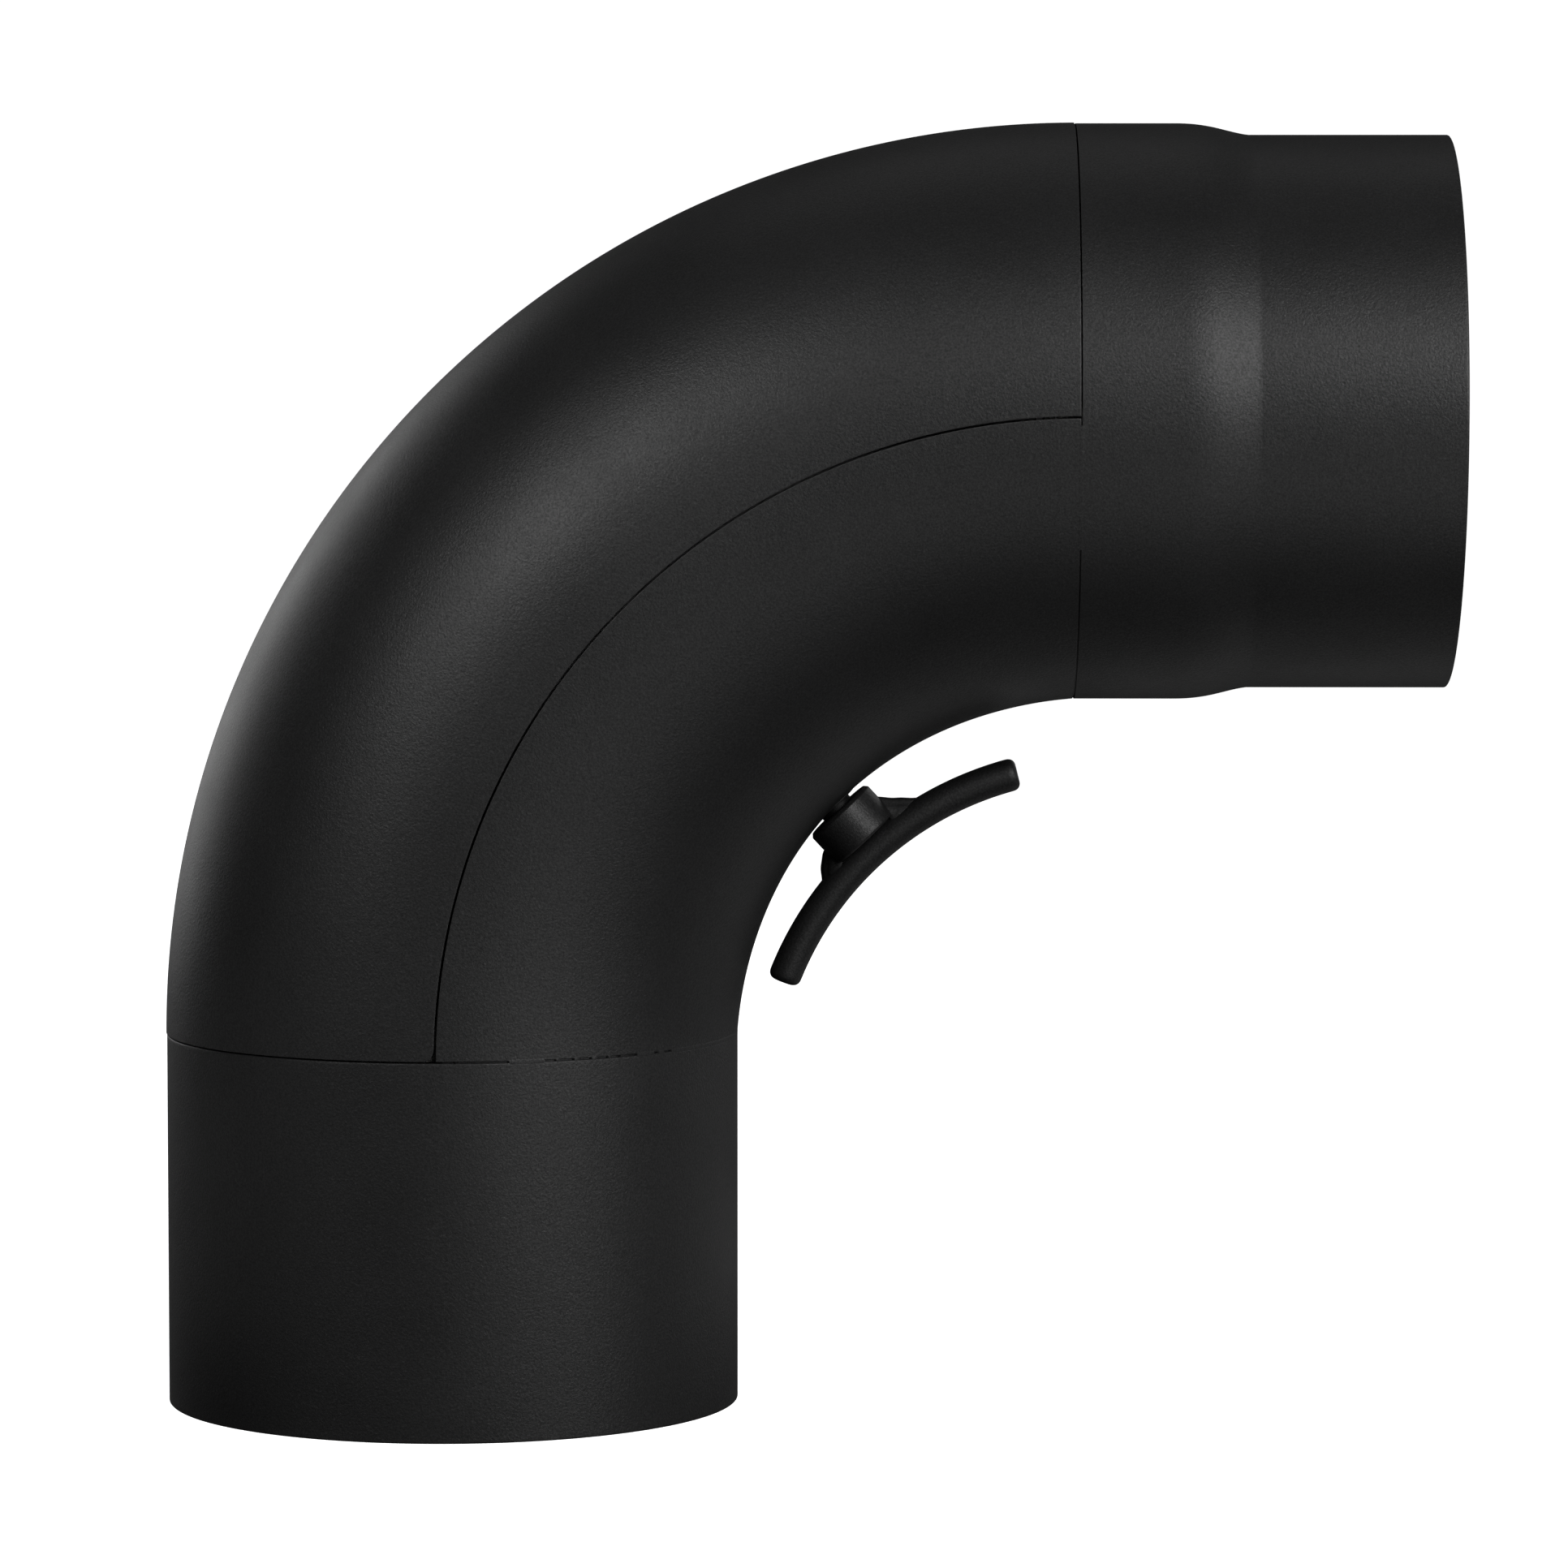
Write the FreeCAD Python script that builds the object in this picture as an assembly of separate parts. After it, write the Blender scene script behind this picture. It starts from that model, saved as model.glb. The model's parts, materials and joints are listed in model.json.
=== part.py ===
import FreeCAD, Part
import math
import os

# Flue elbow with a removable outer half for cleaning.
# Frame: origin at the centre of the inlet rim, +Z up the inlet, +X out through the outlet, mm.

# --- driving dimensions: pipe and bend ---
PIPE_R = 75.0            # outside radius of the inlet pipe and the outlet collar
WALL = 2.0               # sheet thickness
BEND_R = 163.0           # centreline radius of the bend
LEG = 97.0               # straight length of each leg, rim to seam
INNER_BULGE = 1.65       # how far the throat stands out past a true torus, over its middle
BULGE_RISE = 3           # power by which it rises from flush at both seams
OUTER_BULGE = 0.2        # the same for the back of the bend, all the way round
BULGE_SECTIONS = 13      # sections that the throat half is lofted through
RIM_EASE = 0.4           # bevel on the cut pipe ends
SEAM_GAP = 0.4           # saw gap between a pipe end and the bend shells
SPLIT_GAP = 0.3          # half of the gap between the two bend shells
CORNER_R = 3.0           # rounded inlet corners of the removable half
WELD_START = 2.0         # the girth welds stop this far short of the split

# --- driving dimensions: outlet spigot ---
COLLAR_LENGTH = 26.0
TAPER_LENGTH = 19.0
SPIGOT_R = 72.0
TAPER_SHAPE = ((0.25, 0.13), (0.5, 0.46), (0.75, 0.83))   # (share of length, share of drop)

# --- driving dimensions: seat for the removable half ---
STRIP_T = 1.5            # seat strip thickness
STRIP_DROP = 2.5         # joggle, from the shell's inside down to the seat
STRIP_LAND = 3.8         # width spot-welded to the pipe
RECESS = 0.6             # the pipe ends are bored out this much to take the end strips
RECESS_LENGTH = 5.0
SEAT_ANGLE = 3.5         # how far an end seat reaches round the bend, degrees
RAIL_SPAN = 8.0          # how far a side rail reaches each side of the split, degrees
GASKET_CLEAR = 0.3       # from the sealing tape to the removable half

# --- driving dimensions: latch ---
# Heights run along the latch axis, starting level with the bend's centre of curvature.
LATCH_SHIFT = -2.3       # offset of the latch axis from the bend's middle, at LATCH_LEVEL
LATCH_LEVEL = 79.5
LATCH_TILT = 1.8         # the latch axis leans a little towards the outlet, degrees
ROD_R = 4.0              # M8
ROD_LOW = 76.5
ROD_HIGH = 211.5
THREAD_CLEAR = 0.06
BUSH_R = 7.0
BUSH_FLANGE_R = 12.0
BUSH_LOW = 86.0
BUSH_HIGH = 100.0
RING_R = 4.7
HUB_R = 10.0
HUB_LOW = 74.5
HUB_HIGH = 85.0
HUB_EASE = 0.8
BRIDGE_LOW = 196.0
BRIDGE_T = 4.0
BRIDGE_WIDTH = 25.0
BRIDGE_TAB = (45.0, 60.0)   # section angles of the welded ends
NUT_FLATS = 13.0
NUT_HEIGHT = 6.5
SPRING_WASHER_R = 7.4
SPRING_WASHER_T = 2.0

# --- driving dimensions: handle ---
BAR_R = 4.31
BAR_ARC_R = 88.7
BAR_HEIGHT = 71.0        # height of the bar's middle
BAR_SHIFT = -0.1         # the bar was welded on a little off centre
BAR_TILT = 1.4           # and a little crooked
BAR_HALF_ANGLE = 27.75
BAR_EASE = 1.2

X = FreeCAD.Vector(1, 0, 0)
Y = FreeCAD.Vector(0, 1, 0)
Z = FreeCAD.Vector(0, 0, 1)
CENTRE = FreeCAD.Vector(BEND_R, 0, LEG)
OUTWARD = FreeCAD.Vector(-1, 0, 1).normalize()
ALONG = FreeCAD.Vector(1, 0, 1).normalize()
SECTION = FreeCAD.Vector(0, 0, LEG)
BORE_R = PIPE_R - WALL
SEAT_R = BORE_R - STRIP_DROP
BIG = 400.0


def save(name, shape):
    """Clean a shape and write it as parts/NAME.step."""
    shape = shape.removeSplitter()
    if not shape.isValid() or shape.Volume <= 0:
        raise ValueError(name + " is not a sound solid")
    shape.exportStep("parts/" + name + ".step")


def box(low, high):
    """Box between two corners."""
    size = [b - a for a, b in zip(low, high)]
    return Part.makeBox(*size, FreeCAD.Vector(*low))


def outlet_side(shape):
    """Mirror a shape from the inlet end of the bend to the outlet end."""
    return shape.mirror(CENTRE, ALONG)


def rear_side(shape):
    """Mirror a shape from the front (-Y) to the rear."""
    return shape.mirror(FreeCAD.Vector(0, 0, 0), Y)


def latch_direction():
    """Unit vector along the latch axis, away from the handle."""
    tilt = math.radians(LATCH_TILT)
    return OUTWARD * math.cos(tilt) + ALONG * math.sin(tilt)


def latch_point(height):
    """Point on the latch axis."""
    level = CENTRE + OUTWARD * LATCH_LEVEL + ALONG * LATCH_SHIFT
    return level + latch_direction() * (height - LATCH_LEVEL)


def on_latch(shape):
    """Move a shape built on the Z axis to the latch axis, keeping its heights."""
    axis = latch_direction()
    placed = shape.copy()
    placed.Placement = FreeCAD.Placement(latch_point(0), FreeCAD.Rotation(Y.cross(axis), Y, axis, "ZXY"))
    return placed


def latch_tube(radius, low, high, bore=0.0):
    """Cylinder on the latch axis between two heights, with an optional bore."""
    tube = Part.makeCylinder(radius, high - low, Z * low)
    if bore:
        tube = tube.cut(Part.makeCylinder(bore, high - low, Z * low))
    return tube


# --- sections of the bend, drawn at its inlet end ---

def ellipse_face(in_plane, across):
    """Filled ellipse on the inlet seam, in_plane towards the bend's centre."""
    curve = Part.Ellipse(SECTION, in_plane, across)
    return Part.Face(Part.Wire(curve.toShape()))


def section_point(radius, angle):
    """Point on the inlet seam; 0 is the back of the bend, 90 the front split."""
    a = math.radians(angle)
    return SECTION + FreeCAD.Vector(-radius * math.cos(a), -radius * math.sin(a), 0)


def arc_band(inner, outer, start, end):
    """Part of a ring on the inlet seam, between two radii and two angles."""
    middle = (start + end) / 2
    far = Part.Arc(section_point(outer, start), section_point(outer, middle), section_point(outer, end))
    near = Part.Arc(section_point(inner, end), section_point(inner, middle), section_point(inner, start))
    first = Part.makeLine(section_point(outer, end), section_point(inner, end))
    last = Part.makeLine(section_point(inner, start), section_point(outer, start))
    return Part.Face(Part.Wire([far.toShape(), first, near.toShape(), last]))


def round_bend(face, start, end):
    """Carry a section round the bend between two angles from the inlet seam."""
    turned = face.copy()
    turned.rotate(CENTRE, Y, start)
    return turned.revolve(CENTRE, Y, end - start)


def half_section(bulge, side):
    """Half ring of sheet on the inlet seam; side is -1 for the back and +1 for the throat."""
    ring = ellipse_face(PIPE_R + bulge, PIPE_R).cut(ellipse_face(BORE_R + bulge, BORE_R))
    start, end = sorted((side * SPLIT_GAP, side * BIG))
    window = box((start, -BIG, LEG - 1), (end, BIG, LEG + 1))
    return ring.common(window).Faces[0]


def between_seams(shell):
    """Cut a bend shell back to leave the saw gap at both seams."""
    return shell.common(box((-BIG, -BIG, LEG + SEAM_GAP), (BEND_R - SEAM_GAP, BIG, BIG)))


def back_shell():
    return between_seams(round_bend(half_section(OUTER_BULGE, -1), 0, 90))


def throat_shell():
    """Throat half, flush with the pipes at its ends and fuller in between."""
    wires = []
    for i in range(BULGE_SECTIONS):
        angle = 90 * i / (BULGE_SECTIONS - 1)
        bulge = INNER_BULGE * (1 - (1 - math.sin(math.radians(2 * angle))) ** BULGE_RISE)
        wire = half_section(bulge, 1).OuterWire
        wire.rotate(CENTRE, Y, angle)
        wires.append(wire)
    return between_seams(Part.makeLoft(wires, True, False))


def corner_cutter():
    """Waste outside the rounded corner of the removable half, at the inlet seam."""
    x = -SPLIT_GAP
    z = LEG + SEAM_GAP
    square = box((x - CORNER_R, -BIG, z - 1), (x + 1, BIG, z + CORNER_R))
    keep = Part.makeCylinder(CORNER_R, 2 * BIG, FreeCAD.Vector(x - CORNER_R, -BIG, z + CORNER_R), Y)
    return square.cut(keep)


# --- fixed pieces ---

def inlet_pipe():
    pipe = Part.makeCylinder(PIPE_R, LEG).cut(Part.makeCylinder(BORE_R, LEG))
    pipe = pipe.cut(Part.makeCylinder(BORE_R + RECESS, RECESS_LENGTH, Z * (LEG - RECESS_LENGTH)))
    rim = [e for e in pipe.Edges if e.Length > 100 and abs(e.CenterOfMass.z) < 0.01]
    return pipe.makeChamfer(RIM_EASE, rim)


def taper_curve(radius, start):
    """S-shaped swage from a radius at the end of the collar down to the spigot."""
    drop = PIPE_R - SPIGOT_R
    shares = ((0, 0),) + TAPER_SHAPE + ((1, 1),)
    points = [FreeCAD.Vector(start + TAPER_LENGTH * s, 0, radius - drop * d) for s, d in shares]
    curve = Part.BSplineCurve()
    flat = FreeCAD.Vector(TAPER_LENGTH, 0, 0)
    settling = FreeCAD.Vector(TAPER_LENGTH, 0, -0.6 * drop)
    curve.interpolate(Points=points, InitialTangent=flat, FinalTangent=settling)
    return curve.toShape()


def outlet_pipe():
    """Collar, swage and spigot turned about the outlet axis from one profile."""
    taper = BEND_R + COLLAR_LENGTH
    rim = BEND_R + LEG
    spigot_bore = SPIGOT_R - WALL
    outside = taper_curve(PIPE_R, taper)
    inside = taper_curve(BORE_R, taper)
    corners = [
        outside.Vertexes[-1].Point,
        FreeCAD.Vector(rim - RIM_EASE, 0, SPIGOT_R),
        FreeCAD.Vector(rim, 0, SPIGOT_R - RIM_EASE),
        FreeCAD.Vector(rim, 0, spigot_bore),
        inside.Vertexes[-1].Point,
    ]
    back = [
        inside.Vertexes[0].Point,
        FreeCAD.Vector(BEND_R + RECESS_LENGTH, 0, BORE_R),
        FreeCAD.Vector(BEND_R + RECESS_LENGTH, 0, BORE_R + RECESS),
        FreeCAD.Vector(BEND_R, 0, BORE_R + RECESS),
        FreeCAD.Vector(BEND_R, 0, PIPE_R),
        outside.Vertexes[0].Point,
    ]
    edges = [outside, inside]
    edges += Part.makePolygon(corners).Edges
    edges += Part.makePolygon(back).Edges
    profile = Part.Face(Part.Wire(Part.__sortEdges__(edges)))
    pipe = profile.revolve(FreeCAD.Vector(0, 0, 0), X, 360)
    pipe.translate(Z * (BEND_R + LEG))
    return pipe


def girth_weld(pipe, shell):
    """Inside bead and gap filling that join the throat half to the inlet pipe."""
    bead = Part.makeTorus(BORE_R, 1.4, Z * (LEG + SEAM_GAP / 2), Z)
    filling = Part.makeCylinder(PIPE_R - 0.15, SEAM_GAP, SECTION)
    filling = filling.cut(Part.makeCylinder(BORE_R, SEAM_GAP, SECTION))
    throat_half = box((WELD_START, -BIG, 0), (BIG, BIG, BIG))
    return bead.fuse(filling).common(throat_half).cut(pipe).cut(shell)


def side_rail():
    """Joggled strip behind the front split, spot-welded to the throat half."""
    near = SEAT_R - STRIP_T
    land = arc_band(BORE_R - STRIP_T, BORE_R, 91.4, 90 + RAIL_SPAN)
    step = arc_band(near, BORE_R, 90.4, 91.6)
    seat = arc_band(near, SEAT_R, 90 - RAIL_SPAN, 90.6)
    profile = land.fuse([step, seat]).removeSplitter()
    return round_bend(profile.Faces[0], SEAT_ANGLE + 0.5, 89.5 - SEAT_ANGLE)


def end_strip():
    """Joggled half ring inside the inlet pipe's end, with its seat inside the bend."""
    near = SEAT_R - STRIP_T
    far = BORE_R + RECESS
    land = arc_band(far - STRIP_T, far, -88, 88).extrude(Z * -STRIP_LAND)
    step = arc_band(near, far, -88, 88).extrude(Z * -STRIP_T)
    seat = round_bend(arc_band(near, SEAT_R, -88, 88), 0, SEAT_ANGLE)
    return land.fuse([step, seat])


def side_gasket():
    return round_bend(arc_band(SEAT_R, BORE_R - GASKET_CLEAR, 90 - RAIL_SPAN, 89.6),
                      SEAT_ANGLE + 0.5, 89.5 - SEAT_ANGLE)


def end_gasket():
    return round_bend(arc_band(SEAT_R, BORE_R - GASKET_CLEAR, -88, 88), 0, SEAT_ANGLE)


def guide_bush(shell):
    """Flanged bush in the throat that carries the tie rod and takes the washer."""
    shank = latch_tube(BUSH_R, BUSH_LOW, BUSH_HIGH)
    flange = latch_tube(BUSH_FLANGE_R, 88.0, 93.0)
    bore = latch_tube(ROD_R + THREAD_CLEAR, BUSH_LOW, BUSH_HIGH)
    return on_latch(shank.fuse(flange).cut(bore)).cut(shell)


# --- pieces on the removable half ---

def bridge_span():
    """Angles round the bend between which the strap's welded ends lie."""
    middle = latch_point(BRIDGE_LOW)
    angle = math.degrees(math.atan2(middle.z - LEG, BEND_R - middle.x))
    half_width = math.degrees(BRIDGE_WIDTH / 2 / (BRIDGE_LOW + 10))
    return angle - half_width, angle + half_width


def door_bridge(shell):
    """Flat strap across the removable half, its ends turned up against the sheet."""
    tab = arc_band(BORE_R - BRIDGE_T + OUTER_BULGE, BORE_R + OUTER_BULGE, *BRIDGE_TAB)
    tab = round_bend(tab, *bridge_span())
    half = BRIDGE_WIDTH / 2
    strap = on_latch(box((-half, -64.5, BRIDGE_LOW), (half, 64.5, BRIDGE_LOW + BRIDGE_T)))
    hole = on_latch(latch_tube(ROD_R + 0.5, BRIDGE_LOW - 1, BRIDGE_LOW + BRIDGE_T + 1))
    return strap.fuse([tab, rear_side(tab)]).cut(hole).cut(shell)


def bridge_weld():
    """Fillet along the top edge of the strap's front end."""
    low = BRIDGE_TAB[0]
    outer = BORE_R + OUTER_BULGE - 0.13
    heel = section_point(outer, low)
    corners = [section_point(outer - BRIDGE_T + 1, low), heel, section_point(outer, low - 3)]
    face = Part.Face(Part.makePolygon(corners + corners[:1]))
    return round_bend(face, *bridge_span())


def hex_nut(low):
    """Hexagon nut with both ends turned to a cone, bored to the rod's crest."""
    corner = NUT_FLATS / math.sqrt(3)
    points = []
    for i in range(7):
        a = math.radians(60 * i + 30)
        points.append(FreeCAD.Vector(corner * math.cos(a), corner * math.sin(a), low))
    prism = Part.Face(Part.makePolygon(points)).extrude(Z * NUT_HEIGHT)
    turned = Part.makeCylinder(corner, NUT_HEIGHT, Z * low)
    turned = turned.makeChamfer(0.7, [e for e in turned.Edges if e.Length > 6 * corner])
    bore = Part.makeCylinder(ROD_R, NUT_HEIGHT, Z * low)
    return on_latch(prism.common(turned).cut(bore))


def spring_washer(low):
    ring = latch_tube(SPRING_WASHER_R, low, low + SPRING_WASHER_T, ROD_R + 0.2)
    slit = box((0, -0.8, low - 1), (20, 0.8, low + SPRING_WASHER_T + 1))
    slit.rotate(FreeCAD.Vector(0, 0, 0), Z, 70)
    return on_latch(ring.cut(slit))


def tie_rod():
    rod = Part.makeCylinder(ROD_R, ROD_HIGH - ROD_LOW, Z * ROD_LOW)
    ends = [e for e in rod.Edges if abs(e.Length - 2 * math.pi * ROD_R) < 0.01]
    return on_latch(rod.makeChamfer(1.0, ends))


# --- pieces that turn ---

def handle_bar():
    """Bent round bar, an arc whose middle lies on the latch axis."""
    tilt = math.radians(BAR_TILT)
    toward = FreeCAD.Vector(math.sin(tilt), 0, math.cos(tilt))
    arc_centre = Z * BAR_HEIGHT + X * BAR_SHIFT - toward * BAR_ARC_R
    end = arc_centre + toward * BAR_ARC_R
    across = FreeCAD.Vector(math.cos(tilt), 0, -math.sin(tilt))
    disc = Part.Face(Part.Wire(Part.Circle(end, across, BAR_R).toShape()))
    disc.rotate(arc_centre, Y, -BAR_HALF_ANGLE)
    bar = disc.revolve(arc_centre, Y, 2 * BAR_HALF_ANGLE)
    ends = [e for e in bar.Edges if abs(e.Length - 2 * math.pi * BAR_R) < 0.01]
    return on_latch(bar.makeChamfer(BAR_EASE, ends))


def handle_hub(bar):
    hub = Part.makeCylinder(HUB_R, HUB_HIGH - HUB_LOW, Z * HUB_LOW)
    hub = hub.makeChamfer(HUB_EASE, [e for e in hub.Edges if e.Length > 6 * HUB_R])
    bore = latch_tube(ROD_R + THREAD_CLEAR, HUB_LOW, HUB_HIGH)
    return on_latch(hub.cut(bore)).cut(bar)


def handle_weld(side, hub, bar):
    """Lumpy fillet in the corner between the bar and one side of the hub."""
    lumps = []
    for y, radius in ((-2.6, 2.7), (-0.2, 3.2), (2.3, 2.9)):
        drop = 0.5 if side > 0 else 0.0
        lumps.append(Part.makeSphere(radius, FreeCAD.Vector(side * (HUB_R + 0.4), y, 75.4 - drop)))
    weld = on_latch(lumps[0].fuse(lumps[1:]))
    solid = weld.cut(hub).cut(bar)
    outside = on_latch(Part.makeCylinder(HUB_R, 40, Z * 60))
    return max(solid.cut(outside).Solids, key=lambda s: s.Volume)


os.makedirs("parts", exist_ok=True)

rod_hole = on_latch(latch_tube(BUSH_R, 80, 100))
inner_shell = throat_shell().cut(rod_hole)
outer_shell = back_shell().cut(corner_cutter())
inlet = inlet_pipe()

save("inlet_pipe", inlet)
save("outlet_pipe", outlet_pipe())
save("inner_bend_shell", inner_shell)
weld = girth_weld(inlet, inner_shell)
save("inlet_girth_weld", weld)
save("outlet_girth_weld", outlet_side(weld))
save("rod_guide_bush", guide_bush(inner_shell))
save("front_seat_rail", side_rail())
save("rear_seat_rail", rear_side(side_rail()))
save("inlet_seat_strip", end_strip())
save("outlet_seat_strip", outlet_side(end_strip()))
save("front_gasket", side_gasket())
save("rear_gasket", rear_side(side_gasket()))
save("inlet_gasket", end_gasket())
save("outlet_gasket", outlet_side(end_gasket()))

save("outer_bend_shell", outer_shell)
save("door_bridge", door_bridge(outer_shell))
save("front_bridge_weld", bridge_weld())
save("rear_bridge_weld", rear_side(bridge_weld()))
save("tie_rod", tie_rod())
save("inner_lock_nut", hex_nut(BRIDGE_LOW - NUT_HEIGHT))
save("spring_washer", spring_washer(BRIDGE_LOW + BRIDGE_T))
save("outer_lock_nut", hex_nut(BRIDGE_LOW + BRIDGE_T + SPRING_WASHER_T))

bar = handle_bar()
hub = handle_hub(bar)
save("shim_ring", on_latch(latch_tube(RING_R, HUB_HIGH, BUSH_LOW, ROD_R + THREAD_CLEAR)))
save("handle_hub", hub)
save("handle_bar", bar)
save("handle_weld_left", handle_weld(-1, hub, bar))
save("handle_weld_right", handle_weld(1, hub, bar))
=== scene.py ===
import json
import math

import bmesh
import bpy
import numpy as np
from mathutils import Matrix, Vector


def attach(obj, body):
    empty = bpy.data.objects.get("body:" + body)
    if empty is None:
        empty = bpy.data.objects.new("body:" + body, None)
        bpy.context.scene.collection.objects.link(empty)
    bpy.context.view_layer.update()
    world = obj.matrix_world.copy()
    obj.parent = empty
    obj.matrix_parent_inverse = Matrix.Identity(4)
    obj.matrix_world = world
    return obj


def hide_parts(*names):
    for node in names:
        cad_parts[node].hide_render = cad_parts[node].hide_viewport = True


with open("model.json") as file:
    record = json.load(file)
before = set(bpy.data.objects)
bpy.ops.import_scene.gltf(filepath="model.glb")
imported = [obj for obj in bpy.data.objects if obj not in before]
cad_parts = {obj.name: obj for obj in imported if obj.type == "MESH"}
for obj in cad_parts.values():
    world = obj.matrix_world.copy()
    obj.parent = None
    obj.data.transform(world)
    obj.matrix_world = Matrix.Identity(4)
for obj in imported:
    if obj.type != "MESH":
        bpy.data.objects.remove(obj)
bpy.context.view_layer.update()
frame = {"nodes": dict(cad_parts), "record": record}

# Looks of a matt black flue elbow. Lengths here are in mm in the CAD frame, and become metres
# in new_piece(). Angles are in degrees where they are written down.

# --- sizes, as in the CAD ---
PIPE_R = 75.0
WALL = 2.0
BORE_R = PIPE_R - WALL
BEND_R = 163.0
LEG = 97.0
INNER_BULGE = 1.65
OUTER_BULGE = 0.2
SEAM_GAP = 0.4
SPLIT_GAP = 0.3
CORNER_R = 3.0
WELD_START = 2.0
RECESS = 0.6
RECESS_LENGTH = 5.0
COLLAR_LENGTH = 26.0
TAPER_LENGTH = 19.0
SPIGOT_R = 72.0
STRIP_DROP = 2.5
SEAT_R = BORE_R - STRIP_DROP
SEAT_ANGLE = 3.5
RAIL_SPAN = 8.0
GASKET_CLEAR = 0.3
LATCH_SHIFT = -2.3
LATCH_LEVEL = 79.5
LATCH_TILT = 1.8
ROD_R = 4.0
ROD_LOW = 76.5
ROD_HIGH = 211.5
THREAD_CLEAR = 0.06
THREAD_PITCH = 1.25
THREAD_DEPTH = 0.6
BUSH_R = 7.0
BUSH_FLANGE_R = 12.0
BUSH_LOW = 86.0
BUSH_HIGH = 100.0
FLANGE_LOW = 88.0
FLANGE_HIGH = 93.0
RING_R = 4.7
HUB_R = 10.0
HUB_LOW = 74.5
HUB_HIGH = 85.0
BRIDGE_LOW = 196.0
BRIDGE_T = 4.0
NUT_FLATS = 13.0
NUT_HEIGHT = 6.5
SPRING_WASHER_R = 7.4
SPRING_WASHER_T = 2.0
BAR_R = 4.31
BAR_ARC_R = 88.7
BAR_HEIGHT = 71.0
BAR_SHIFT = -0.1
BAR_TILT = 1.4
BAR_HALF_ANGLE = 27.75

# --- sizes that only the looks have ---
BULGE_RISE = 2           # power by which the throat rises from its seams; 3 in the CAD
TAPER_SHAPE = ((0.0, 0.0), (0.25, 0.07), (0.5, 0.31), (0.75, 0.69), (1.0, 1.0))
TAPER_END_SLOPE = 0.7    # slope where the taper meets the spigot, as a share of its mean slope
SHEET_EASE = 0.12        # bevel on the sawn edges of the two bend shells
WOBBLE = 0.02            # unevenness of the pressed sheet
FLUSH_WIDTH = 0.5        # how far a ground weld spreads over each side of its seam
WELD_PROUD = 0.02        # what is left of a ground weld above the pipe
LINE_DEPTH = 0.75        # depth of the lines that the welds leave open
BEAD_OUT = ((73.2, SEAM_GAP + 0.02), (73.1, 1.1), (72.5, 1.4))      # (radius, height) inside the pipe
BEAD_TOP = ((71.9, 0.9), (71.8, 0.1), (72.0, -0.7))                 # the same, where it is rippled
BEAD_BACK = ((72.7, -1.15), (73.5, -0.9), (73.75, -0.02))
TAPE_ROUND = 0.7
TAPE_BRAID = 0.10        # depth of the tape's ribs
SIDE_TAPE_EDGE = 89.6    # section angle of a side tape's edge
SIDE_TAPE_LESS = 0.4     # a side tape is this much narrower than its rail, in section angle
SIDE_TAPE_START = 0.08   # from an end tape to a side tape, round the bend
END_TAPE_REACH = 90.8    # section angle that the end tapes reach, just under the throat
THREAD_FLAT = 1.25       # ridges are cut off flat where they would rise past 1/1.25 of a full V
THREAD_ENDS = (92.0, 182.5)   # the rod is threaded below the first height and above the second
NOSE = ((0.0, 2.2), (0.05, 2.75), (0.25, 3.3), (0.6, 3.75), (1.1, 4.08), (1.7, 4.26), (2.4, BAR_R))

CENTRE = np.array((BEND_R, 0.0, LEG))
OUTWARD = np.array((-1.0, 0.0, 1.0)) / math.sqrt(2)
ALONG = np.array((1.0, 0.0, 1.0)) / math.sqrt(2)
ACROSS = np.array((0.0, 1.0, 0.0))


def add_object(name, data):
    thing = bpy.data.objects.new(name, data)
    bpy.context.scene.collection.objects.link(thing)
    return thing


def shade_smooth(mesh):
    for polygon in mesh.polygons:
        polygon.use_smooth = True


# --- camera: fitted to the object's rims, seams and outline ---

CAMERA_TURN = (0.749, -4.267, -0.008)        # yaw, pitch and roll
CAMERA_PLACE = (0.11035, -1.77015, 0.29441)  # metres
FOCAL_PER_WIDTH = 8331.4 / 1932
SENSOR = 36.0


def make_camera():
    yaw, pitch, roll = (math.radians(a) for a in CAMERA_TURN)
    turn = Matrix.Rotation(yaw, 3, "Z") @ Matrix.Rotation(pitch, 3, "X") @ Matrix.Rotation(roll, 3, "Y")
    right, forward, up = (turn.col[i] for i in range(3))
    data = bpy.data.cameras.new("camera")
    data.sensor_width = SENSOR
    data.lens = FOCAL_PER_WIDTH * SENSOR
    data.clip_start = 0.05
    data.clip_end = 50.0
    camera = add_object("camera", data)
    pose = Matrix((right, up, -forward)).transposed().to_4x4()
    pose.translation = Vector(CAMERA_PLACE)
    camera.matrix_world = pose
    bpy.context.scene.camera = camera


# --- node helpers ---

def new_material(name):
    material = bpy.data.materials.new(name)
    material.use_nodes = True
    tree = material.node_tree
    shader = tree.nodes["Principled BSDF"]
    return material, tree, shader


def coordinates(tree):
    return tree.nodes.new("ShaderNodeTexCoord").outputs["Object"]


def noise(tree, source, scale, detail=3.0, roughness=0.55, stretch=None):
    """Noise over the object's own metres; scale is in cycles per metre."""
    if stretch:
        mapping = tree.nodes.new("ShaderNodeMapping")
        mapping.inputs["Scale"].default_value = stretch
        tree.links.new(source, mapping.inputs["Vector"])
        source = mapping.outputs["Vector"]
    node = tree.nodes.new("ShaderNodeTexNoise")
    node.inputs["Scale"].default_value = scale
    node.inputs["Detail"].default_value = detail
    node.inputs["Roughness"].default_value = roughness
    tree.links.new(source, node.inputs["Vector"])
    return node.outputs["Fac"]


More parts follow.
